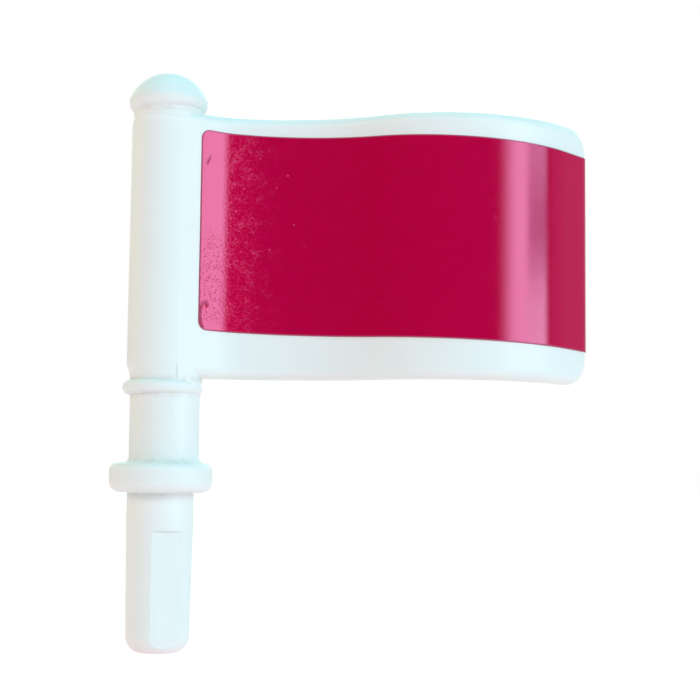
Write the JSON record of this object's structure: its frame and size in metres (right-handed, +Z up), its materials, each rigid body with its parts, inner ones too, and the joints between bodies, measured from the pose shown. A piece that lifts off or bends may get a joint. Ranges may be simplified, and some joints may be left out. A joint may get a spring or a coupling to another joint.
{
  "type": "plug-in toy flag",
  "caption": "Small plastic plug-in flag: a domed pole with bead, collar and round peg, a waved panel, and a glossy label wrapped round the panel's free end.",
  "frame": {"origin": "on the peg's axis, in the plane of the collar's underside", "axes": "+Z up the pole, +X along the flag, -Y is the front"},
  "size_m": [0.065, 0.0144, 0.0785],
  "materials": {
    "white_plastic": "satin white moulding",
    "crimson_vinyl": "glossy crimson vinyl"
  },
  "bodies": {
    "root": {"flag_moulding": "white_plastic", "wrap_label": "crimson_vinyl"}
  },
  "joints": []
}
